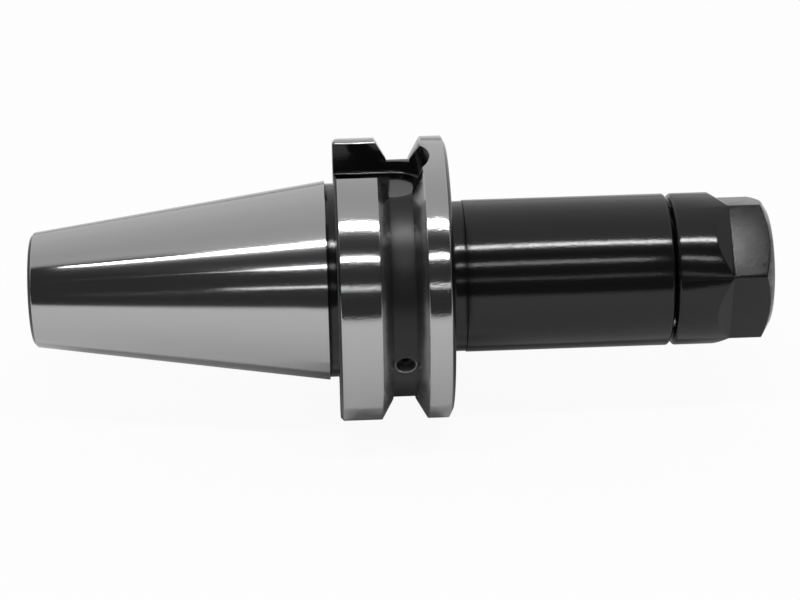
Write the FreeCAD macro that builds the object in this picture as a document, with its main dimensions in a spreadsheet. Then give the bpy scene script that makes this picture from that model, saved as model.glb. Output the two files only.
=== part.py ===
import FreeCAD, Part
import math
import os
import re

import Sketcher

# Collet chuck holder with a steep 7/24 taper shank, lying on its side.
# The axis of rotation is X: the shank points along -X, the nut along +X, and the gauge
# plane of the taper is x = 0.  +Z runs through the middle of the upper drive slot.

SIZES = (
    # taper shank
    ("gauge_dia", 44.45, "taper diameter on the gauge plane"),
    ("taper_ratio", 7.0 / 24.0, "change of diameter along the shank"),
    ("shank_length", 65.4, "gauge plane to small end"),
    ("shank_edge", 0.8, "edge chamfer at the small end"),
    ("neck_dia", 43.2, "relief neck between taper and flange"),
    ("pilot_dia", 17.0, "pilot bore for the pull stud"),
    ("pilot_depth", 7.5, "depth of the pilot bore"),
    ("pilot_chamfer", 1.0, "entry chamfer of the pilot bore"),
    ("stud_thread_dia", 13.84, "minor diameter of the pull stud thread"),
    ("stud_thread_end", 43.0, "depth of the tapping drill from the small end"),
    ("coolant_bore", 8.0, "through bore between both ends"),
    # flange
    ("flange_dia", 63.0, "flange diameter"),
    ("flange_rear", 2.0, "gauge plane to rear face of the flange"),
    ("flange_front", 27.0, "gauge plane to front face of the flange"),
    ("flange_rear_edge", 0.7, "rear edge chamfer"),
    ("flange_front_edge", 0.9, "front edge chamfer along the axis"),
    ("flange_front_drop", 1.8, "front edge chamfer in radius"),
    ("groove_centre", 16.35, "gauge plane to middle of the gripper groove"),
    ("groove_width", 10.2, "gripper groove width at the flange diameter"),
    ("groove_angle", 60.0, "included angle of the gripper groove"),
    ("groove_depth", 5.0, "depth of the gripper groove"),
    ("groove_floor_width", 5.1, "width of the groove floor"),
    ("slot_width", 16.1, "drive slot width"),
    ("slot_floor", 22.6, "axis to the floor of a drive slot"),
    ("slot_end", 22.9, "gauge plane to the round end of a drive slot"),
    ("slot_edge", 0.5, "edge break along the drive slots"),
    ("slot_corner", 0.4, "corner chamfer left by the end mill on a slot floor"),
    ("plug_hole_angle", 105.0, "upper slot to the first plug hole, towards -Y"),
    ("plug_hole_dia", 4.1, "plug hole diameter"),
    ("plug_hole_depth", 9.0, "depth of a plug hole below the groove floor"),
    ("plug_hole_rim", 0.3, "countersink of a plug hole"),
    # nose
    ("nose_neck_dia", 33.6, "turned neck in front of the flange"),
    ("nose_neck_end", 30.4, "end of that neck"),
    ("nose_dia", 34.0, "nose diameter"),
    ("nose_end", 75.8, "gauge plane to the shoulder behind the nut"),
    ("nose_edge", 0.5, "edge break of the shoulder"),
    ("nose_root", 0.8, "corner chamfer where the nose leaves the flange"),
    ("relief_dia", 22.8, "thread relief behind the nose thread"),
    ("relief_width", 2.0, "width of the thread relief"),
    ("nose_thread_dia", 25.0, "outside diameter of the nose thread"),
    ("nose_face", 92.2, "gauge plane to the front face of the holder"),
    ("nose_thread_edge", 1.0, "lead chamfer of the nose thread"),
    ("thread_clearance", 0.05, "radial clearance of both adjusting threads"),
    # collet
    ("collet_angle", 8.0, "half angle of the collet body"),
    ("collet_length", 31.5, "collet length"),
    ("collet_body_dia", 20.4, "large end of the collet body cone"),
    ("collet_head_dia", 20.8, "largest diameter of the collet head"),
    ("collet_head_angle", 30.0, "half angle of the collet head cone"),
    ("collet_head_cone", 2.6, "length of the head cone"),
    ("collet_land", 0.5, "plain land behind the head cone"),
    ("collet_groove_dia", 17.4, "extractor groove diameter"),
    ("collet_groove_width", 2.0, "extractor groove width"),
    ("collet_bore", 10.0, "clamping bore of the collet"),
    ("collet_clearance", 0.05, "gap between collet and its seats"),
    ("slit_width", 0.6, "width of a collet slit"),
    ("slit_count", 6, "slits cut from each end"),
    ("slit_clocking", 15.0, "angle of the first slit from the upper slot"),
    ("front_slit_stop", 3.5, "wall left at the back by the front slits"),
    ("rear_slit_stop", 7.0, "wall left at the front by the rear slits"),
    ("shank_room_start", 48.0, "where that room begins"),
    # stop screw
    ("stop_thread_dia", 12.0, "length stop screw diameter"),
    ("stop_thread_start", 22.0, "inner end of the stop screw thread"),
    ("stop_screw_length", 14.0, "length of the stop screw"),
    ("stop_screw_rear", 30.0, "rear face of the stop screw"),
    ("stop_screw_edge", 1.0, "chamfer at both ends of the stop screw"),
    ("stop_screw_socket", 6.0, "socket across flats"),
    ("stop_screw_socket_depth", 6.0, "socket depth"),
    ("stop_screw_bore", 4.0, "coolant bore of the stop screw"),
    # nut
    ("nut_gap", 0.7, "gap between holder shoulder and nut"),
    ("nut_length", 21.75, "nut length"),
    ("nut_dia", 34.0, "nut collar diameter"),
    ("nut_rear_edge", 0.6, "rear rim chamfer"),
    ("nut_hex", 29.7, "across flats"),
    ("nut_flat_length", 9.5, "length of a flat from the front face"),
    ("nut_runout_angle", 32.0, "slope where a flat runs out into the collar"),
    ("nut_front_angle", 31.0, "front chamfer against the front face"),
    ("nut_face_dia", 26.0, "outside diameter of the front face"),
    ("nut_lip_dia", 19.2, "inside diameter of the extractor lip"),
    ("nut_lip_width", 1.4, "width of the extractor lip"),
    ("nut_head_room", 0.3, "radial room around the collet head"),
    ("nut_clocking", 37.0, "angle of the first flat from the upper slot"),
    ("collet_recess", 0.4, "collet face behind the nut face"),
    # plug screws
    ("plug_length", 5.0, "length of a plug screw"),
    ("plug_recess", 2.2, "plug screw below the groove floor"),
    ("plug_clearance", 0.02, "radial clearance of a plug screw"),
    ("plug_socket", 2.0, "socket across flats"),
    ("plug_socket_depth", 2.0, "socket depth"),
)

# Places that follow from the sizes above, each a formula in their names.
RULES = (
    ("groove_floor_dia", "(flange_dia - 2 * groove_depth)"),
    ("gauge_radius", "gauge_dia / 2"),
    ("end_radius", "gauge_radius - shank_length * taper_ratio / 2"),
    ("groove_slope", "tan(groove_angle * 1 deg / 2)"),
    ("groove_wall_top", "flange_dia / 2 - (groove_width - groove_floor_width) / 2 / groove_slope"),
    ("nut_rear", "nose_end + nut_gap"),
    ("nut_front", "nut_rear + nut_length"),
    ("flat_start", "nut_front - nut_flat_length"),
    ("collet_front", "nut_front - collet_recess"),
    ("collet_rear", "collet_front - collet_length"),
    ("head_rear", "collet_front - collet_head_cone - collet_land"),
    ("body_front", "head_rear - collet_groove_width"),
    ("collet_slope", "tan(collet_angle * 1 deg)"),
    ("head_slope", "tan(collet_head_angle * 1 deg)"),
    ("face_radius", "collet_head_dia / 2 - collet_head_cone * head_slope"),
    ("slot_centre", "(slot_end - slot_width / 2)"),
    ("body_rear_radius", "collet_body_dia / 2 - (body_front - collet_rear) * collet_slope"),
    ("seat_radius", "collet_body_dia / 2 + collet_clearance"),
    ("mouth_radius", "seat_radius - (body_front - nose_face) * collet_slope"),
    ("seat_rear", "collet_rear - 1"),
    ("seat_rear_radius", "seat_radius - (body_front - seat_rear) * collet_slope"),
    ("lip_front", "(head_rear + body_front + nut_lip_width) / 2"),
    ("lip_rear", "lip_front - nut_lip_width"),
    ("head_room_radius", "collet_head_dia / 2 + nut_head_room"),
    ("cone_gap", "collet_clearance / cos(collet_head_angle * 1 deg)"),
    ("cone_rear", "collet_front - collet_head_cone - (nut_head_room - cone_gap) / head_slope"),
    ("cone_front_radius", "face_radius + cone_gap - collet_recess * head_slope"),
    ("plug_foot", "groove_floor_dia / 2 - plug_recess - plug_length"),
    ("stud_cone", "(stud_thread_dia - coolant_bore) / 2 * tan(31 deg)"),
)

doc = FreeCAD.newDocument("collet_chuck_holder")
sheet = doc.addObject("Spreadsheet::Sheet", "sizes")
for row, (alias, number, meaning) in enumerate(SIZES, start=1):
    sheet.set(f"A{row}", meaning)
    sheet.set(f"B{row}", str(number))
    sheet.setAlias(f"B{row}", alias)
doc.recompute()

ALIASES = re.compile(r"\b(" + "|".join(alias for alias, _, _ in SIZES) + r")\b")
RULE_NAMES = re.compile(r"\b(" + "|".join(name for name, _ in RULES) + r")\b")
RULE_TEXTS = dict(RULES)


def formula(text):
    """Write out a formula of size and rule names as an expression on the sheet's cells."""
    while RULE_NAMES.search(text):
        text = RULE_NAMES.sub(lambda found: "(" + RULE_TEXTS[found.group(1)] + ")", text)
    return ALIASES.sub(r"sizes.\1", text)


def value(text):
    """Work out a formula as a plain number."""
    found = sheet.evalExpression(formula(text))
    return float(getattr(found, "Value", found))


def new_body(name):
    """Start one piece of the assembly."""
    body = doc.addObject("PartDesign::Body", name)
    body.Label = name
    return body


def origin_part(body, role):
    """Find one of the body's own origin planes or axes."""
    return next(item for item in body.Origin.OriginFeatures if item.Role == role)


def new_sketch(body, name, plane, place=()):
    """Put a sketch on an origin plane, moved or turned by formulas on its offset."""
    sketch = body.newObject("Sketcher::SketchObject", name)
    sketch.AttachmentSupport = [(origin_part(body, plane), "")]
    sketch.MapMode = "FlatFace"
    turned = FreeCAD.Rotation(FreeCAD.Vector(1, 0, 0), 90)
    if any(field == "Rotation.Angle" for field, _ in place):
        sketch.AttachmentOffset = FreeCAD.Placement(FreeCAD.Vector(), turned)
    for field, text in place:
        sketch.setExpression("AttachmentOffset." + field, formula(text))
    return sketch


def fix_point(sketch, edge, end, corner):
    """Dimension one end of an edge from the sketch origin."""
    for kind, text in zip(("DistanceX", "DistanceY"), corner):
        if text == "0":
            axis = -2 if kind == "DistanceX" else -1
            sketch.addConstraint(Sketcher.Constraint("PointOnObject", edge, end, axis))
            continue
        number = Sketcher.Constraint(kind, -1, 1, edge, end, value(text))
        index = sketch.addConstraint(number)
        sketch.setExpression(f"Constraints[{index}]", formula(text))


def outline(sketch, corners):
    """Draw a closed outline of straight edges through dimensioned corners."""
    points = [FreeCAD.Vector(value(x), value(y), 0) for x, y in corners]
    count = len(points)
    for index, start in enumerate(points):
        sketch.addGeometry(Part.LineSegment(start, points[(index + 1) % count]), False)
    for index in range(count):
        after = (index + 1) % count
        sketch.addConstraint(Sketcher.Constraint("Coincident", index, 2, after, 1))
    for index, corner in enumerate(corners):
        fix_point(sketch, index, 1, corner)
    return sketch


def round_outline(sketch, centre, diameter):
    """Draw a circle with a dimensioned centre and diameter."""
    middle = FreeCAD.Vector(value(centre[0]), value(centre[1]), 0)
    circle = Part.Circle(middle, FreeCAD.Vector(0, 0, 1), value(diameter) / 2)
    sketch.addGeometry(circle, False)
    fix_point(sketch, 0, 3, centre)
    size = sketch.addConstraint(Sketcher.Constraint("Diameter", 0, value(diameter)))
    sketch.setExpression(f"Constraints[{size}]", formula(diameter))
    return sketch


def hexagon(sketch, centre, flats):
    """Draw a hexagon across its flats around a dimensioned centre."""
    x, y = centre
    corner = f"({flats}) / 2 / cos(30 deg)"
    corners = []
    for turn in range(0, 360, 60):
        along = f"({x}) + ({corner}) * cos({turn} deg)" if turn % 180 != 90 else x
        across = f"({y}) + ({corner}) * sin({turn} deg)" if turn % 180 else y
        corners.append((along, across))
    return outline(sketch, corners)


def turn(body, name, corners, cut=False):
    """Turn or bore a profile of (x, radius) corners about the X axis."""
    sketch = outline(new_sketch(body, name + "_profile", "XZ_Plane"), corners)
    kind = "PartDesign::Groove" if cut else "PartDesign::Revolution"
    feature = body.newObject(kind, name)
    feature.Profile = sketch
    feature.ReferenceAxis = (sketch, ["H_Axis"])
    feature.Angle = 360
    sketch.Visibility = False
    return checked(feature, cut)


def pocket(body, name, sketch, depth=None, outward=False, both_ways=False):
    """Cut a sketch to a depth, or through everything when no depth is given."""
    feature = body.newObject("PartDesign::Pocket", name)
    feature.Profile = sketch
    feature.Reversed = outward
    if depth is None:
        feature.Type = "ThroughAll"
    else:
        feature.Type = "Length"
        feature.Length = value(depth)
        feature.setExpression("Length", formula(depth))
    if both_ways:
        feature.SideType = "Symmetric"
    sketch.Visibility = False
    return checked(feature, True)


def around(body, name, features, count, sweep="360"):
    """Repeat features about the X axis."""
    feature = body.newObject("PartDesign::PolarPattern", name)
    feature.Originals = features
    feature.Axis = (origin_part(body, "X_Axis"), [""])
    feature.Angle = value(sweep)
    feature.setExpression("Angle", formula(f"({sweep}) * 1 deg"))
    feature.Occurrences = int(value(count))
    feature.setExpression("Occurrences", formula(count))
    body.Tip = feature
    return checked(feature, True)


def edges_where(shape, test):
    """Name the edges of a shape whose sampled points all pass a test."""
    names = []
    for index, edge in enumerate(shape.Edges, start=1):
        if all(test(point) for point in edge.discretize(7)):
            names.append(f"Edge{index}")
    return names


def clocked(body, angle):
    """Turn a whole piece about the X axis to its angle in the assembly."""
    turned = FreeCAD.Rotation(FreeCAD.Vector(1, 0, 0), value(angle))
    body.Placement = FreeCAD.Placement(FreeCAD.Vector(), turned)
    body.setExpression("Placement.Rotation.Angle", formula(f"({angle}) * 1 deg"))
    return body


def off_axis(point):
    """Measure how far a point is from the X axis."""
    return math.hypot(point.y, point.z)


def slot_edge_break(body):
    """Break the edges that the drive slots leave on the flange's outside."""
    radius, half = value("flange_dia / 2"), value("slot_width / 2")
    base = body.Tip
    feature = body.newObject("PartDesign::Chamfer", "slot_edge_breaks")
    feature.Base = (base, edges_where(base.Shape, lambda point: (
        abs(off_axis(point) - radius) < 1e-3 and abs(point.y) < half + 1e-3)))
    feature.Size = value("slot_edge")
    feature.setExpression("Size", formula("slot_edge"))
    return checked(feature, True)


def slot_corners(body):
    """Leave the end mill's corner chamfer around the floors of the drive slots."""
    floor, half = value("slot_floor"), value("slot_width / 2")
    rear = value("flange_rear") + 1e-3
    base = body.Tip
    names = edges_where(base.Shape, lambda point: (
        abs(abs(point.z) - floor) < 1e-3 and abs(point.y) < half + 1e-3))
    names = [name for name in names if max(
        point.x for point in base.Shape.getElement(name).discretize(3)) > rear]
    feature = body.newObject("PartDesign::Chamfer", "slot_corner_chamfers")
    feature.Base = (base, names)
    feature.Size = value("slot_corner")
    feature.setExpression("Size", formula("slot_corner"))
    return checked(feature, False)


def checked(feature, cut):
    """Recompute a feature and make sure that it cuts, adds or keeps one sound solid."""
    doc.recompute()
    if feature.Shape.isNull() or not feature.Shape.isValid():
        raise RuntimeError(f"{feature.Label} has no valid shape")
    base = feature.BaseFeature.Shape.Volume if feature.BaseFeature else 0.0
    change = feature.Shape.Volume - base
    if (change < 0) != cut:
        raise RuntimeError(f"{feature.Label} changed the volume by {change:.1f} mm3")
    return feature


def build_holder():
    """The one-piece holder: taper shank, flange, nose and all its bores."""
    body = new_body("holder_body")
    turn(body, "turned_blank", [
        ("-shank_length", "0"),
        ("-shank_length", "end_radius - shank_edge"),
        ("-shank_length + shank_edge", "end_radius + shank_edge * taper_ratio / 2"),
        ("0", "gauge_radius"),
        ("0", "neck_dia / 2"),
        ("flange_rear", "neck_dia / 2"),
        ("flange_rear", "flange_dia / 2 - flange_rear_edge"),
        ("flange_rear + flange_rear_edge", "flange_dia / 2"),
        ("flange_front - flange_front_edge", "flange_dia / 2"),
        ("flange_front", "flange_dia / 2 - flange_front_drop"),
        ("flange_front", "nose_neck_dia / 2 + nose_root"),
        ("flange_front + nose_root", "nose_neck_dia / 2"),
        ("nose_neck_end", "nose_neck_dia / 2"),
        ("nose_neck_end", "nose_dia / 2"),
        ("nose_end - nose_edge", "nose_dia / 2"),
        ("nose_end", "nose_dia / 2 - nose_edge"),
        ("nose_end", "relief_dia / 2"),
        ("nose_end + relief_width", "relief_dia / 2"),
        ("nose_end + relief_width", "nose_thread_dia / 2"),
        ("nose_face - nose_thread_edge", "nose_thread_dia / 2"),
        ("nose_face", "nose_thread_dia / 2 - nose_thread_edge"),
        ("nose_face", "0"),
    ])
    turn(body, "gripper_groove", groove_outline(), cut=True)
    turn(body, "pull_stud_bore", [
        ("-shank_length - 1", "0"),
        ("-shank_length - 1", "pilot_dia / 2 + pilot_chamfer + 1"),
        ("-shank_length + pilot_chamfer", "pilot_dia / 2"),
        ("-shank_length + pilot_depth", "pilot_dia / 2"),
        ("-shank_length + pilot_depth", "stud_thread_dia / 2"),
        ("-shank_length + stud_thread_end", "stud_thread_dia / 2"),
        ("-shank_length + stud_thread_end + stud_cone", "coolant_bore / 2"),
        ("-shank_length + stud_thread_end + stud_cone", "0"),
    ], cut=True)
    turn(body, "nose_bores", [
        ("-shank_length + stud_thread_end", "0"),
        ("-shank_length + stud_thread_end", "coolant_bore / 2"),
        ("stop_thread_start", "coolant_bore / 2"),
        ("stop_thread_start", "stop_thread_dia / 2 + thread_clearance"),
        ("shank_room_start", "stop_thread_dia / 2 + thread_clearance"),
        ("shank_room_start", "seat_rear_radius"),
        ("seat_rear", "seat_rear_radius"),
        ("nose_face", "mouth_radius"),
        ("nose_face + 1", "mouth_radius + collet_slope"),
        ("nose_face + 1", "0"),
    ], cut=True)
    slot = drive_slot(body)
    around(body, "both_drive_slots", [slot], "2")
    slot_edge_break(body)
    slot_corners(body)
    hole = plug_hole(body)
    around(body, "both_plug_holes", hole, "2")
    return body


def groove_outline():
    """List the corners of the gripper groove, the same on both sides of its middle."""
    side = [
        ("groove_floor_width / 2", "groove_floor_dia / 2"),
        ("groove_floor_width / 2", "groove_wall_top"),
        ("groove_width / 2 + groove_slope", "flange_dia / 2 + 1"),
    ]
    front = [(f"groove_centre + ({across})", radius) for across, radius in side]
    rear = [(f"groove_centre - ({across})", radius) for across, radius in side]
    return front + rear[::-1]


def drive_slot(body):
    """Mill the upper drive slot from the rear face to the end mill's radius."""
    sketch = new_sketch(body, "drive_slot_outline", "XY_Plane", [("Base.z", "slot_floor")])
    half, rear, middle = value("slot_width / 2"), value("flange_rear - 1"), value("slot_centre")
    corners = [(middle, half), (rear, half), (rear, -half), (middle, -half)]
    points = [FreeCAD.Vector(x, y, 0) for x, y in corners]
    for start, end in zip(points, points[1:]):
        sketch.addGeometry(Part.LineSegment(start, end), False)
    circle = Part.Circle(FreeCAD.Vector(middle, 0, 0), FreeCAD.Vector(0, 0, 1), half)
    sketch.addGeometry(Part.ArcOfCircle(circle, -math.pi / 2, math.pi / 2), False)
    for rule in (
        ("Coincident", 0, 2, 1, 1),
        ("Coincident", 1, 2, 2, 1),
        ("Tangent", 2, 2, 3, 1),
        ("Tangent", 0, 1, 3, 2),
        ("Horizontal", 0),
        ("Vertical", 1),
        ("Horizontal", 2),
    ):
        sketch.addConstraint(Sketcher.Constraint(*rule))
    fix_point(sketch, 3, 3, ("slot_centre", "0"))
    fix_point(sketch, 1, 1, ("flange_rear - 1", "slot_width / 2"))
    return pocket(body, "drive_slot", sketch, "flange_dia / 2", outward=True)


def plug_hole(body):
    """Drill and countersink the first plug hole in the floor of the gripper groove."""
    depth_of = {
        "plug_hole": ("groove_floor_dia / 2 + 1", "plug_hole_dia", "plug_hole_depth + 1"),
        "plug_hole_rim_cut": (
            "groove_floor_dia / 2 + 1", "plug_hole_dia + 2 * plug_hole_rim", "1 + plug_hole_rim"),
    }
    cuts = []
    for name, (top, diameter, depth) in depth_of.items():
        sketch = new_sketch(body, name + "_outline", "XY_Plane", [
            ("Base.y", f"-({top}) * sin(plug_hole_angle * 1 deg)"),
            ("Base.z", f"({top}) * cos(plug_hole_angle * 1 deg)"),
            ("Rotation.Angle", "plug_hole_angle * 1 deg"),
        ])
        round_outline(sketch, ("groove_centre", "0"), diameter)
        cuts.append(pocket(body, name, sketch, depth))
    return cuts


def build_nut():
    """The clamping nut: round collar, hexagon, thread bore, extractor lip and cone seat."""
    body = new_body("clamping_nut")
    turn(body, "turned_nut", [
        ("nut_rear", "nose_thread_dia / 2 + thread_clearance"),
        ("nut_rear", "nut_dia / 2 - nut_rear_edge"),
        ("nut_rear + nut_rear_edge", "nut_dia / 2"),
        ("nut_front - (nut_dia - nut_face_dia) / 2 * tan(nut_front_angle * 1 deg)", "nut_dia / 2"),
        ("nut_front", "nut_face_dia / 2"),
        ("nut_front", "cone_front_radius"),
        ("cone_rear", "head_room_radius"),
        ("lip_front", "head_room_radius"),
        ("lip_front", "nut_lip_dia / 2"),
        ("lip_rear", "nut_lip_dia / 2"),
        ("lip_rear", "nose_thread_dia / 2 + thread_clearance"),
    ])
    rise = "(nut_dia / 2 + 1 - nut_hex / 2)"
    flat = outline(new_sketch(body, "flat_outline", "XZ_Plane"), [
        ("flat_start", "nut_hex / 2"),
        ("nut_front + 1", "nut_hex / 2"),
        ("nut_front + 1", "nut_dia / 2 + 1"),
        (f"flat_start - {rise} / tan(nut_runout_angle * 1 deg)", "nut_dia / 2 + 1"),
    ])
    cut = pocket(body, "first_flat", flat, "nut_dia", both_ways=True)
    around(body, "hexagon", [cut], "6")
    return clocked(body, "nut_clocking")


def build_collet():
    """The spring collet: two cones, extractor groove and slits from both ends."""
    body = new_body("collet")
    turn(body, "turned_collet", [
        ("collet_rear", "collet_bore / 2"),
        ("collet_rear", "body_rear_radius"),
        ("body_front", "collet_body_dia / 2"),
        ("body_front", "collet_groove_dia / 2"),
        ("head_rear", "collet_groove_dia / 2"),
        ("head_rear", "collet_head_dia / 2"),
        ("collet_front - collet_head_cone", "collet_head_dia / 2"),
        ("collet_front", "face_radius"),
        ("collet_front", "collet_bore / 2"),
    ])
    spans = (
        ("front_slit", "XY_Plane", "collet_rear + front_slit_stop", "collet_front + 1"),
        ("rear_slit", "XZ_Plane", "collet_rear - 1", "collet_front - rear_slit_stop"),
    )
    for name, plane, start, end in spans:
        sketch = new_sketch(body, name + "_outline", plane, [
            ("Rotation.Angle", "slit_clocking * 1 deg"),
        ])
        outline(sketch, [
            (start, "-slit_width / 2"),
            (end, "-slit_width / 2"),
            (end, "slit_width / 2"),
            (start, "slit_width / 2"),
        ])
        slit = pocket(body, name, sketch, "collet_head_dia + 2", both_ways=True)
        around(body, name + "s", [slit], "slit_count / 2", "180 - 360 / slit_count")
    return body


def build_stop_screw():
    """The hollow screw that sets how deep a tool shank goes in."""
    body = new_body("length_stop_screw")
    front = "stop_screw_rear + stop_screw_length"
    turn(body, "turned_screw", [
        ("stop_screw_rear", "stop_screw_bore / 2"),
        ("stop_screw_rear", "stop_thread_dia / 2 - stop_screw_edge"),
        ("stop_screw_rear + stop_screw_edge", "stop_thread_dia / 2"),
        (f"{front} - stop_screw_edge", "stop_thread_dia / 2"),
        (front, "stop_thread_dia / 2 - stop_screw_edge"),
        (front, "stop_screw_bore / 2"),
    ])
    sketch = new_sketch(body, "socket_outline", "YZ_Plane", [("Base.z", front)])
    hexagon(sketch, ("0", "0"), "stop_screw_socket")
    pocket(body, "hex_socket", sketch, "stop_screw_socket_depth")
    return body


def build_plug_screw(name, turned):
    """A grub screw that closes one plug hole."""
    body = new_body(name)
    foot = new_sketch(body, "screw_outline", "XY_Plane", [("Base.z", "plug_foot")])
    round_outline(foot, ("groove_centre", "0"), "plug_hole_dia - 2 * plug_clearance")
    pad = body.newObject("PartDesign::Pad", "screw")
    pad.Profile = foot
    pad.Length = value("plug_length")
    pad.setExpression("Length", formula("plug_length"))
    checked(pad, False)
    top = new_sketch(body, "socket_outline", "XY_Plane", [("Base.z", "plug_foot + plug_length")])
    hexagon(top, ("groove_centre", "0"), "plug_socket")
    pocket(body, "hex_socket", top, "plug_socket_depth")
    return clocked(body, f"plug_hole_angle + {turned}")


def main():
    """Build every piece, check it and write it out."""
    pieces = (
        build_holder(),
        build_nut(),
        build_collet(),
        build_stop_screw(),
        build_plug_screw("coolant_plug_screw_front", 0),
        build_plug_screw("coolant_plug_screw_rear", 180),
    )
    doc.recompute()
    for item in doc.Objects:
        if "Invalid" in item.State or "Error" in item.State:
            raise RuntimeError(f"{item.Label} did not recompute: {item.State}")
    os.makedirs("parts", exist_ok=True)
    for piece in pieces:
        if piece.Shape.isNull() or not piece.Shape.isValid():
            raise RuntimeError(f"{piece.Label} has no valid shape")
        piece.Shape.exportStep(f"parts/{piece.Label}.step")
        box = piece.Shape.BoundBox
        print(f"{piece.Label}: {piece.Shape.Volume:.0f} mm3, {len(piece.Shape.Solids)} solid, "
              f"x {box.XMin:.2f} to {box.XMax:.2f}")


main()
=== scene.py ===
"""Dress a collet chuck holder: ground and blackened steel, threads, studio and camera."""

import logging
import math
from contextlib import contextmanager
from dataclasses import dataclass
from enum import Enum
from typing import Any, Callable, Iterator, Sequence, Union

import bpy
from mathutils import Matrix, Vector


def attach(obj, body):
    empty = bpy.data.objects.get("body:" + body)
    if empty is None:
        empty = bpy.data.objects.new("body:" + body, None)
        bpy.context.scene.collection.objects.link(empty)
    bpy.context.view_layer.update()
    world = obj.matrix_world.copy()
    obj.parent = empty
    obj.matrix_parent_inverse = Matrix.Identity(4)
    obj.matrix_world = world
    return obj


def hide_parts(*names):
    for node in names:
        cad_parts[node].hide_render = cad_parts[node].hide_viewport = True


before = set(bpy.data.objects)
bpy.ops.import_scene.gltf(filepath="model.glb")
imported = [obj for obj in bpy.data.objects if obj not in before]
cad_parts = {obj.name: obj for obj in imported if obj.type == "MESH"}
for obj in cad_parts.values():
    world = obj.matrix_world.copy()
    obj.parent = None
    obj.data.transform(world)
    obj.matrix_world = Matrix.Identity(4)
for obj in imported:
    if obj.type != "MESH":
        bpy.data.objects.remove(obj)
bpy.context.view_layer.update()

LOG = logging.getLogger("collet_chuck_holder")
MM = 0.001
SPECULAR_LEVEL = 0.45
SMOOTH_ANGLE = 32.0
Colour = tuple[float, float, float, float]


class Body(Enum):
    """Name the rigid bodies that pieces ride on."""

    HOLDER = "holder"
    COLLET = "collet_body"
    NUT = "nut"
    STOP_SCREW = "stop_screw"


@dataclass(frozen=True)
class Sizes:
    """Hold the sizes that several pieces and finishes share, in metres."""

    gauge_radius: float = 22.225 * MM
    taper_slope: float = 7 / 48
    flange_radius: float = 31.5 * MM
    flange_rear_edge: float = 2.7 * MM
    flange_front_edge: float = 26.1 * MM
    groove_centre: float = 16.35 * MM
    groove_floor: float = 26.5 * MM
    groove_half_floor: float = 2.55 * MM
    groove_half_mouth: float = 5.1 * MM
    plug_hole_radius: float = 2.05 * MM
    plug_hole_angle: float = 105.0
    slot_floor: float = 22.6 * MM
    slot_width: float = 16.1 * MM
    slot_edge: float = 0.5 * MM
    plain_inside: float = 14.0 * MM
    grinding_line: float = 0.22 * MM
    grinding_depth: float = 0.0008 * MM
    nut_half_flats: float = 14.85 * MM
    flat_margin: float = 0.03 * MM
    nut_clocking: float = 37.0


SIZES = Sizes()


class Signal:
    """Wrap an output socket so that shader maths reads as Python arithmetic."""

    def __init__(self, tree: bpy.types.NodeTree, socket: bpy.types.NodeSocket) -> None:
        """Keep the tree and the socket.

        Args:
            tree: Node tree that new Math nodes are added to.
            socket: Output socket that carries the value.
        """
        self.tree = tree
        self.socket = socket

    def math(self, operation: str, *values: "Operand", clamp: bool = False) -> "Signal":
        """Add one Math node.

        Args:
            operation: Blender's name of the operation.
            *values: Inputs in order, each a signal or a number.
            clamp: Whether the result is held between 0 and 1.

        Returns:
            The result as a signal.
        """
        node = self.tree.nodes.new("ShaderNodeMath")
        node.operation = operation
        node.use_clamp = clamp
        for socket, value in zip(node.inputs, values):
            if isinstance(value, Signal):
                self.tree.links.new(value.socket, socket)
            else:
                socket.default_value = float(value)
        return Signal(self.tree, node.outputs[0])

    def __add__(self, other: "Operand") -> "Signal":
        """Return self + other."""
        return self.math("ADD", self, other)

    __radd__ = __add__

    def __sub__(self, other: "Operand") -> "Signal":
        """Return self - other."""
        return self.math("SUBTRACT", self, other)

    def __rsub__(self, other: "Operand") -> "Signal":
        """Return other - self."""
        return self.math("SUBTRACT", other, self)

    def __mul__(self, other: "Operand") -> "Signal":
        """Return self * other."""
        return self.math("MULTIPLY", self, other)

    __rmul__ = __mul__

    def __truediv__(self, other: "Operand") -> "Signal":
        """Return self / other."""
        return self.math("DIVIDE", self, other)

    def __gt__(self, other: "Operand") -> "Signal":
        """Return 1 where self is above other, else 0."""
        return self.math("GREATER_THAN", self, other)

    def __lt__(self, other: "Operand") -> "Signal":
        """Return 1 where self is below other, else 0."""
        return self.math("LESS_THAN", self, other)

    def __abs__(self) -> "Signal":
        """Return the size without its sign."""
        return self.math("ABSOLUTE", self)

    def root(self) -> "Signal":
        """Return the square root."""
        return self.math("SQRT", self)

    def held(self) -> "Signal":
        """Return the value held between 0 and 1."""
        return self.math("ADD", self, 0.0, clamp=True)

    def ramp(self, low: float, high: float) -> "Signal":
        """Return a straight ramp from 0 at low to 1 at high, held at both ends."""
        return ((self - low) / (high - low)).held()


Operand = Union[Signal, float]


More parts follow.
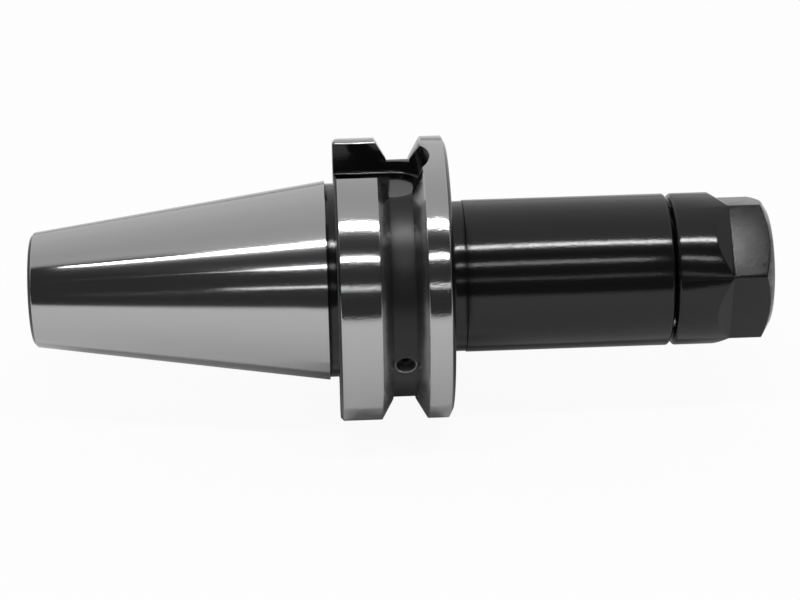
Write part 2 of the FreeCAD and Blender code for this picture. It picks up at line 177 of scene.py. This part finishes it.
class NodeSheet:
    """Add nodes to one tree and feed their sockets."""

    def __init__(self, owner: bpy.types.Material | bpy.types.World) -> None:
        """Clear the owner's node tree.

        Args:
            owner: Material or world whose nodes are written.
        """
        owner.use_nodes = True
        self.tree = owner.node_tree
        self.tree.nodes.clear()

    def node(self, kind: str, settings: dict[str, Any] | None = None, **inputs: Any) -> Any:
        """Add a node, set it up and feed its sockets.

        Args:
            kind: Blender's type name of the node.
            settings: Attributes set before the sockets.
            **inputs: Socket names with "_" for spaces, each a value, socket or signal.

        Returns:
            The new node.
        """
        node = self.tree.nodes.new(kind)
        for key, value in (settings or {}).items():
            setattr(node, key, value)
        for key, value in inputs.items():
            self.feed(node, key.replace("_", " "), value)
        return node

    def feed(self, node: Any, name: str, value: Any) -> None:
        """Link or set the enabled input socket of a name."""
        socket = next(item for item in node.inputs if item.name == name and item.enabled)
        if isinstance(value, Signal):
            self.tree.links.new(value.socket, socket)
        elif isinstance(value, bpy.types.NodeSocket):
            self.tree.links.new(value, socket)
        else:
            socket.default_value = value

    def signal(self, node: Any, output: str) -> Signal:
        """Return one output of a node as a signal."""
        return Signal(self.tree, node.outputs[output])

    def axes(self, socket: bpy.types.NodeSocket) -> tuple[Signal, Signal, Signal]:
        """Return the X, Y and Z parts of a vector socket."""
        parts = self.node("ShaderNodeSeparateXYZ", Vector=socket)
        return self.signal(parts, "X"), self.signal(parts, "Y"), self.signal(parts, "Z")


class SteelSheet(NodeSheet):
    """Hold one steel material's nodes and the places that its patterns read."""

    def __init__(self, name: str) -> None:
        """Start an empty material.

        Args:
            name: Name of the material.
        """
        self.material = bpy.data.materials.new(name)
        super().__init__(self.material)
        self.place = self.node("ShaderNodeTexCoord").outputs["Object"]
        self.x, self.y, self.z = self.axes(self.place)
        self.radius = (self.y * self.y + self.z * self.z).root()

    def noise(self, grain: float, detail: float = 2.0,
              stretch: Sequence[float] = (1.0, 1.0, 1.0)) -> Signal:
        """Return a noise pattern around 0.5.

        Args:
            grain: Rough size of one grain in metres.
            detail: Number of octaves.
            stretch: Factors for the pattern along X, Y and Z.

        Returns:
            The noise.
        """
        mapping = self.node("ShaderNodeMapping", Vector=self.place, Scale=stretch)
        pattern = self.node("ShaderNodeTexNoise", Vector=mapping.outputs[0],
                            Scale=1 / grain, Detail=detail)
        return Signal(self.tree, pattern.outputs[0])

    def blend(self, mask: Operand, low: Any, high: Any) -> Any:
        """Return the colour socket that mixes two colours by a mask."""
        mix = self.node("ShaderNodeMix", {"data_type": "RGBA"}, Factor=mask, A=low, B=high)
        return next(item for item in mix.outputs if item.enabled)

    def bump(self, height: Signal) -> Any:
        """Return a normal socket for a height in metres."""
        return self.node("ShaderNodeBump", Height=height, Strength=1.0,
                         Distance=1.0).outputs[0]

    def surface(self, **inputs: Any) -> bpy.types.Material:
        """Close the material with a Principled surface and return it."""
        shader = self.node("ShaderNodeBsdfPrincipled", **inputs)
        self.node("ShaderNodeOutputMaterial", Surface=shader.outputs[0])
        return self.material


@dataclass(frozen=True)
class SteelFinish:
    """Describe one way that steel is finished: its grain is the blasted texture."""

    colour: Colour
    metallic: float
    roughness: float
    depth: float
    grain: float = 0.38 * MM


GROUND = SteelFinish((0.48, 0.48, 0.485, 1.0), 1.0, 0.11, 0.0)
GROUND_RING = SteelFinish((0.48, 0.48, 0.485, 1.0), 1.0, 0.10, 0.012 * MM)
MILLED = SteelFinish((0.42, 0.42, 0.425, 1.0), 1.0, 0.25, 0.004 * MM)
DARK_MILLED = SteelFinish((0.11, 0.11, 0.112, 1.0), 1.0, 0.12, 0.0)
BLACKENED = SteelFinish((0.006, 0.006, 0.0065, 1.0), 0.0, 0.12, 0.014 * MM)
BLACKENED_FLOOR = SteelFinish((0.006, 0.006, 0.0065, 1.0), 0.0, 0.34, 0.010 * MM)
BLACKENED_FLAT = SteelFinish((0.006, 0.006, 0.0065, 1.0), 0.0, 0.20, 0.055 * MM)
SPRING = SteelFinish((0.40, 0.40, 0.405, 1.0), 1.0, 0.24, 0.004 * MM)


def plain_steel(name: str, finish: SteelFinish) -> bpy.types.Material:
    """Make a steel material with one finish all over.

    Args:
        name: Name of the material.
        finish: The finish.

    Returns:
        The material.
    """
    sheet = SteelSheet(name)
    return sheet.surface(
        Base_Color=finish.colour,
        Metallic=finish.metallic,
        Roughness=finish.roughness,
        Specular_IOR_Level=SPECULAR_LEVEL,
        Normal=sheet.bump(sheet.noise(finish.grain) * finish.depth),
    )


def nut_steel() -> bpy.types.Material:
    """Make the nut's steel: blackened, with coarser grains on its flats.

    Returns:
        The material.
    """
    sheet = SteelSheet("nut_steel")
    from_axis = Signal(sheet.tree, sheet.x.socket) * 0.0
    for turn in (0, 60, 120):
        angle = math.radians(SIZES.nut_clocking + turn)
        across = sheet.z * math.cos(angle) - sheet.y * math.sin(angle)
        from_axis = from_axis.math("MAXIMUM", from_axis, abs(across))
    on_flats = abs(from_axis - SIZES.nut_half_flats) < SIZES.flat_margin
    rough = BLACKENED.roughness + on_flats * (BLACKENED_FLAT.roughness - BLACKENED.roughness)
    depth = BLACKENED.depth + on_flats * (BLACKENED_FLAT.depth - BLACKENED.depth)
    return sheet.surface(
        Base_Color=BLACKENED.colour,
        Metallic=BLACKENED.metallic,
        Roughness=rough,
        Specular_IOR_Level=SPECULAR_LEVEL,
        Normal=sheet.bump(sheet.noise(BLACKENED.grain) * depth),
    )


def holder_steel() -> bpy.types.Material:
    """Make the holder's steel: ground taper and flange rings, the rest blackened.

    Returns:
        The material.
    """
    sheet = SteelSheet("holder_steel")
    edge = 0.1 * MM
    taper_radius = sheet.x * SIZES.taper_slope + SIZES.gauge_radius
    on_taper = (sheet.radius > taper_radius - edge) * (sheet.x < 0.2 * edge)
    outside = sheet.radius > SIZES.flange_radius - SIZES.slot_edge - 0.2 * edge
    between_edges = (sheet.x > SIZES.flange_rear_edge - edge) * (
        sheet.x < SIZES.flange_front_edge + edge)
    on_rings = outside * between_edges
    from_middle = abs(sheet.x - SIZES.groove_centre)
    in_groove = (from_middle > SIZES.groove_half_floor - 0.2 * edge) * (
        from_middle < SIZES.groove_half_mouth + edge)
    in_slot = (abs(sheet.y) < SIZES.slot_width / 2 + 0.2 * edge) * (
        abs(sheet.z) > SIZES.slot_floor - edge)
    on_flanks = in_groove * (sheet.radius > SIZES.groove_floor - edge) * (1 - in_slot)
    on_slot_floor = in_slot * (abs(sheet.z) < SIZES.slot_floor + edge) * between_edges
    on_groove_floor = (from_middle < SIZES.groove_half_floor) * (
        abs(sheet.radius - SIZES.groove_floor) < edge)
    milled = (on_flanks * (1 - on_rings) + plug_holes(sheet)).held()
    ground = (on_taper + on_rings).held()
    bare = (ground + milled + on_slot_floor).held()
    black = 1 - bare
    lines = sheet.noise(SIZES.grinding_line, 1.0, (1.0, 0.05, 0.05)) * on_taper
    outer = sheet.radius > SIZES.plain_inside
    grain = sheet.noise(GROUND.grain) * (on_rings * GROUND_RING.depth
                                         + black * outer * BLACKENED.depth)
    floor = black * on_groove_floor
    rough = (on_taper * GROUND.roughness + on_rings * GROUND_RING.roughness
             + milled * MILLED.roughness + on_slot_floor * DARK_MILLED.roughness
             + black * BLACKENED.roughness
             + floor * (BLACKENED_FLOOR.roughness - BLACKENED.roughness))
    colour = sheet.blend(on_slot_floor, BLACKENED.colour, DARK_MILLED.colour)
    colour = sheet.blend(milled, colour, MILLED.colour)
    return sheet.surface(
        Base_Color=sheet.blend(ground, colour, GROUND.colour),
        Metallic=bare,
        Roughness=rough,
        Specular_IOR_Level=SPECULAR_LEVEL,
        Normal=sheet.bump(lines * SIZES.grinding_depth + grain),
    )


def plug_holes(sheet: SteelSheet) -> Signal:
    """Return 1 on the walls and the outer rims of both plug holes.

    Args:
        sheet: Material that the mask is for.

    Returns:
        The mask.
    """
    angle = math.radians(SIZES.plug_hole_angle)
    along = sheet.x - SIZES.groove_centre
    across = sheet.y * math.cos(angle) + sheet.z * math.sin(angle)
    reach = (along * along + across * across).root()
    wall = (reach < SIZES.plug_hole_radius + 0.02 * MM) * (
        sheet.radius < SIZES.groove_floor - 0.3 * MM)
    rim = (reach > SIZES.plug_hole_radius + 0.2 * MM) * (
        reach < SIZES.plug_hole_radius + 0.36 * MM) * (
        sheet.radius < SIZES.groove_floor + 0.05 * MM)
    return (wall + rim) * (sheet.radius > SIZES.groove_floor - 9.5 * MM)


def activate(obj: bpy.types.Object) -> None:
    """Select one object alone and make it active."""
    bpy.ops.object.select_all(action="DESELECT")
    obj.select_set(True)
    bpy.context.view_layer.objects.active = obj


@contextmanager
def editing(obj: bpy.types.Object, mode: str = "VERT") -> Iterator[bpy.types.Mesh]:
    """Open an object in edit mode with everything selected, and close it again.

    Args:
        obj: Object to edit.
        mode: What is selected: VERT, EDGE or FACE.

    Yields:
        The object's mesh.
    """
    activate(obj)
    bpy.ops.object.mode_set(mode="EDIT")
    bpy.ops.mesh.select_mode(type=mode)
    bpy.ops.mesh.select_all(action="SELECT")
    yield obj.data
    bpy.ops.object.mode_set(mode="OBJECT")


def pick(obj: bpy.types.Object, test: Callable[[Vector], bool]) -> int:
    """Select the vertices that pass a test, while the object is in edit mode.

    Args:
        obj: Object in edit mode.
        test: Tells from a vertex's place whether it is picked.

    Returns:
        The number of vertices picked.
    """
    bpy.ops.mesh.select_all(action="DESELECT")
    bpy.ops.object.mode_set(mode="OBJECT")
    count = 0
    for vertex in obj.data.vertices:
        vertex.select = test(vertex.co)
        count += vertex.select
    bpy.ops.object.mode_set(mode="EDIT")
    return count


def off_axis(place: Vector) -> float:
    """Return how far a place is from the X axis."""
    return math.hypot(place.y, place.z)


def finish_shading(obj: bpy.types.Object, material: bpy.types.Material) -> None:
    """Give a piece one material and smooth shading up to an angle."""
    obj.data.materials.clear()
    obj.data.materials.append(material)
    activate(obj)
    bpy.ops.object.shade_smooth_by_angle(angle=math.radians(SMOOTH_ANGLE))


@dataclass(frozen=True)
class WallStep:
    """Move one turned wall out or in to make room for a thread."""

    start: float
    end: float
    radius: float
    new_radius: float

    def holds(self, place: Vector) -> bool:
        """Tell whether a place lies on the wall."""
        margin = 0.01 * MM
        along = self.start - margin < place.x < self.end + margin
        return along and abs(off_axis(place) - self.radius) < 0.02 * MM


@dataclass
class SoftEdgedPiece:
    """Model a machined piece with all its sharp edges slightly broken."""

    node: str
    body: Body
    material: bpy.types.Material
    edge: float = 0.12 * MM
    steps: tuple[WallStep, ...] = ()
    sharp_angle: float = 18.0

    def build(self) -> bpy.types.Object:
        """Copy the solid's mesh, make room for threads and break its edges.

        Returns:
            The finished piece.
        """
        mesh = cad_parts[self.node].data.copy()
        piece = bpy.data.objects.new(self.node + "_machined", mesh)
        bpy.context.scene.collection.objects.link(piece)
        with editing(piece):
            bpy.ops.mesh.remove_doubles(threshold=0.002 * MM)
            bpy.ops.mesh.dissolve_limited(angle_limit=math.radians(0.6))
            for step in self.steps:
                self.resize_wall(piece, step)
        self.break_edges(piece)
        finish_shading(piece, self.material)
        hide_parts(self.node)
        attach(piece, self.body.value)
        LOG.info("%s: %d faces on %s", piece.name, len(piece.data.polygons), self.body.value)
        return piece

    @staticmethod
    def resize_wall(piece: bpy.types.Object, step: WallStep) -> None:
        """Scale one wall's rings about the X axis."""
        if not pick(piece, step.holds):
            raise RuntimeError(f"{piece.name} has no wall of radius {step.radius}")
        scale = step.new_radius / step.radius
        bpy.ops.transform.resize(value=(1.0, scale, scale), center_override=(0.0, 0.0, 0.0))

    def break_edges(self, piece: bpy.types.Object) -> None:
        """Bevel every edge that turns by more than an angle."""
        activate(piece)
        bevel = piece.modifiers.new("broken_edges", "BEVEL")
        bevel.width = self.edge
        bevel.segments = 2
        bevel.limit_method = "ANGLE"
        bevel.angle_limit = math.radians(self.sharp_angle)
        bevel.use_clamp_overlap = False
        bpy.ops.object.modifier_apply(modifier=bevel.name)


@dataclass
class ScrewThread:
    """Model one screw thread as a helical wall with its ends turned to the back.

    The back is open, against the solid wall that the thread stands on.
    """

    name: str
    body: Body
    material: bpy.types.Material
    start: float
    end: float
    crest: float
    root: float
    back: float
    pitch: float
    steps: int = 72

    def build(self) -> bpy.types.Object:
        """Turn one tooth along the helix, trim both ends and turn them to the back.

        Returns:
            The finished piece.
        """
        piece = self.tooth()
        self.wind(piece)
        self.trim(piece, self.start, keep_above=True)
        self.trim(piece, self.end, keep_above=False)
        self.turn_ends(piece)
        finish_shading(piece, self.material)
        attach(piece, self.body.value)
        LOG.info("%s: %d faces on %s", piece.name, len(piece.data.polygons), self.body.value)
        return piece

    def tooth(self) -> bpy.types.Object:
        """Draw the profile of one tooth, from root to root, by extruding a point.

        Returns:
            A piece that holds the profile's edges.
        """
        profile = (
            (0.125, self.root),
            (0.4375, self.crest),
            (0.5625, self.crest),
            (0.875, self.root),
            (1.0, self.root),
        )
        bpy.ops.object.select_all(action="DESELECT")
        bpy.ops.mesh.primitive_plane_add(size=0.1 * MM)
        piece = bpy.context.object
        piece.name = self.name
        place = Vector((self.start - 2 * self.pitch, 0.0, self.root))
        with editing(piece):
            bpy.ops.mesh.merge(type="CENTER")
            bpy.ops.transform.translate(value=place)
            for along, radius in profile:
                after = Vector((self.start + (along - 2) * self.pitch, 0.0, radius))
                bpy.ops.mesh.extrude_region_move(
                    TRANSFORM_OT_translate={"value": after - place})
                place = after
        return piece

    def wind(self, piece: bpy.types.Object) -> None:
        """Wind the tooth along the whole length."""
        activate(piece)
        turns = math.ceil((self.end - self.start) / self.pitch) + 3
        helix = piece.modifiers.new("helix", "SCREW")
        helix.axis = "X"
        helix.screw_offset = self.pitch
        helix.iterations = turns
        helix.steps = self.steps
        helix.render_steps = self.steps
        helix.use_merge_vertices = False
        bpy.ops.object.modifier_apply(modifier=helix.name)
        with editing(piece):
            bpy.ops.mesh.remove_doubles(threshold=0.002 * MM)

    @staticmethod
    def trim(piece: bpy.types.Object, place: float, keep_above: bool) -> None:
        """Cut the helix square at one end."""
        with editing(piece):
            bpy.ops.mesh.bisect(plane_co=(place, 0.0, 0.0), plane_no=(1.0, 0.0, 0.0),
                                clear_inner=keep_above, clear_outer=not keep_above)

    def turn_ends(self, piece: bpy.types.Object) -> None:
        """Extrude what lies on both cut planes to the back radius, and clean the mesh."""
        margin = 0.001 * MM
        for place in (self.start, self.end):
            with editing(piece, "EDGE"):
                pick(piece, lambda spot: abs(spot.x - place) < margin)
                bpy.ops.mesh.extrude_region_move()
                bpy.ops.object.mode_set(mode="OBJECT")
                for vertex in piece.data.vertices:
                    if vertex.select:
                        scale = self.back / off_axis(vertex.co)
                        vertex.co.y *= scale
                        vertex.co.z *= scale
                bpy.ops.object.mode_set(mode="EDIT")
        with editing(piece, "EDGE"):
            bpy.ops.mesh.remove_doubles(threshold=0.001 * MM)
            bpy.ops.mesh.normals_make_consistent(inside=False)


@dataclass
class Studio:
    """Build the floor, the world, the lamps and the camera."""

    floor_level: float = -31.5 * MM
    floor_size: float = 6.0
    floor_colour: Colour = (0.85, 0.85, 0.85, 1.0)
    floor_white: float = 0.94
    room_dark: float = 0.055
    room_above: float = 0.72
    room_behind: float = 0.92
    aim_x: float = 16.1 * MM
    aim_up: float = -4.95 * MM
    distance: float = 558 * MM
    elevation: float = 31.5
    yaw: float = -1.85
    roll: float = 1.91
    lens: float = 112.3
    lamps: tuple[tuple[float, float, float, float], ...] = (
        (73.8, 3.0, 1.0, 40.0),
        (46.8, 1.6, 0.85, 13.0),
        (23.6, 0.5, 1.0, 8.0),
    )
    lamp_distance: float = 1.2

    def build(self) -> None:
        """Make every part of the studio."""
        self.floor()
        self.world()
        for number, (elevation, spread, length, glow) in enumerate(self.lamps, start=1):
            self.lamp(f"strip_lamp_{number}", elevation, spread, length, glow)
        self.camera()

    def floor(self) -> None:
        """Lay the pale floor under the part."""
        bpy.ops.object.select_all(action="DESELECT")
        bpy.ops.mesh.primitive_plane_add(size=self.floor_size, location=(0, 0, self.floor_level))
        floor = bpy.context.object
        floor.name = "studio_floor"
        material = bpy.data.materials.new("studio_floor")
        sheet = NodeSheet(material)
        matte = sheet.node("ShaderNodeBsdfDiffuse", Color=self.floor_colour)
        white = sheet.node("ShaderNodeEmission", Color=(1.0, 1.0, 1.0, 1.0))
        camera = sheet.signal(sheet.node("ShaderNodeLightPath"), "Is Camera Ray")
        mix = sheet.node("ShaderNodeMixShader", Fac=camera * self.floor_white)
        sheet.tree.links.new(matte.outputs[0], mix.inputs[1])
        sheet.tree.links.new(white.outputs[0], mix.inputs[2])
        sheet.node("ShaderNodeOutputMaterial", Surface=mix.outputs[0])
        floor.data.materials.append(material)

    def world(self) -> None:
        """Set a world that is bright behind and above, and dim in front."""
        world = bpy.data.worlds.new("studio_world")
        bpy.context.scene.world = world
        sheet = NodeSheet(world)
        _, y, z = sheet.axes(sheet.node("ShaderNodeTexCoord").outputs["Generated"])
        elevation = z.math("ARCTAN2", z, y * -1.0) * (180 / math.pi)
        room = (elevation.ramp(77.0, 83.0) * (self.room_above - self.room_dark)
                + elevation.ramp(100.0, 150.0) * (self.room_behind - self.room_above)
                + self.room_dark)
        camera = sheet.signal(sheet.node("ShaderNodeLightPath"), "Is Camera Ray")
        back = sheet.node("ShaderNodeBackground", Strength=room * (1 - camera) + camera)
        sheet.node("ShaderNodeOutputWorld", Surface=back.outputs[0])

    @staticmethod
    def toward(elevation: float) -> Vector:
        """Return the unit vector in front of the part at an elevation in degrees."""
        angle = math.radians(elevation)
        return Vector((0.0, -math.cos(angle), math.sin(angle)))

    def lamp(self, name: str, elevation: float, spread: float, length: float,
             glow: float) -> None:
        """Hang one strip lamp along the part.

        Args:
            name: Name of the lamp.
            elevation: Angle above the horizon in front, in degrees.
            spread: Height of the strip as seen from the part, in degrees.
            length: Length of the strip along X in metres.
            glow: Brightness of the strip, where 1 is white.
        """
        data = bpy.data.lights.new(name, "AREA")
        data.shape = "RECTANGLE"
        data.size = length
        data.size_y = 2 * self.lamp_distance * math.tan(math.radians(spread / 2))
        data.energy = glow * math.pi * data.size * data.size_y
        lamp = bpy.data.objects.new(name, data)
        direction = self.toward(elevation)
        side = Vector((1.0, 0.0, 0.0))
        turn = Matrix((side, direction.cross(side), direction)).transposed().to_4x4()
        place = direction * self.lamp_distance + side * self.aim_x
        lamp.matrix_world = Matrix.Translation(place) @ turn
        bpy.context.scene.collection.objects.link(lamp)

    def camera(self) -> None:
        """Set the camera at the viewing angle."""
        side = Vector((1.0, 0.0, 0.0))
        toward = self.toward(self.elevation)
        up = self.toward(self.elevation + 90)
        yaw, roll = math.radians(self.yaw), math.radians(self.roll)
        right = side * math.cos(yaw) - toward * math.sin(yaw)
        back = side * math.sin(yaw) + toward * math.cos(yaw)
        rolled_right = right * math.cos(roll) - up * math.sin(roll)
        rolled_up = right * math.sin(roll) + up * math.cos(roll)
        data = bpy.data.cameras.new("camera")
        data.lens = self.lens
        data.sensor_width = 36.0
        data.clip_start = 0.01
        camera = bpy.data.objects.new("camera", data)
        aim = side * self.aim_x + up * self.aim_up
        turn = Matrix((rolled_right, rolled_up, back)).transposed().to_4x4()
        camera.matrix_world = Matrix.Translation(aim + back * self.distance) @ turn
        bpy.context.scene.collection.objects.link(camera)
        bpy.context.scene.camera = camera


def main() -> None:
    """Build the looks in order and report each piece."""
    logging.basicConfig(level=logging.INFO, format="%(name)s: %(message)s")
    steel = holder_steel()
    black = plain_steel("blackened_steel", BLACKENED)
    spring = plain_steel("spring_steel", SPRING)
    SoftEdgedPiece("holder_body", Body.HOLDER, steel, steps=(
        WallStep(-57.9 * MM, -22.4 * MM, 6.92 * MM, 8.05 * MM),
        WallStep(77.8 * MM, 91.2 * MM, 12.5 * MM, 11.6 * MM),
    )).build()
    SoftEdgedPiece("clamping_nut", Body.NUT, nut_steel(), edge=0.2 * MM).build()
    SoftEdgedPiece("collet", Body.COLLET, spring, edge=0.1 * MM).build()
    SoftEdgedPiece("length_stop_screw", Body.STOP_SCREW, black, edge=0.1 * MM, steps=(
        WallStep(31.0 * MM, 43.0 * MM, 6.0 * MM, 5.0 * MM),
    )).build()
    for name in ("coolant_plug_screw_front", "coolant_plug_screw_rear"):
        SoftEdgedPiece(name, Body.HOLDER, black, edge=0.05 * MM).build()
    ScrewThread("pull_stud_thread", Body.HOLDER, black, start=-57.88 * MM, end=-24.0 * MM,
                crest=6.95 * MM, root=7.95 * MM, back=8.2 * MM, pitch=2.0 * MM).build()
    ScrewThread("nose_thread", Body.HOLDER, black, start=78.2 * MM, end=91.0 * MM,
                crest=12.46 * MM, root=11.65 * MM, back=11.3 * MM, pitch=1.5 * MM).build()
    ScrewThread("stop_screw_thread", Body.STOP_SCREW, black, start=31.2 * MM, end=42.8 * MM,
                crest=5.98 * MM, root=5.1 * MM, back=4.8 * MM, pitch=1.5 * MM).build()
    Studio().build()
    bpy.context.scene.view_settings.view_transform = "Standard"


if __name__ == "__main__":
    main()
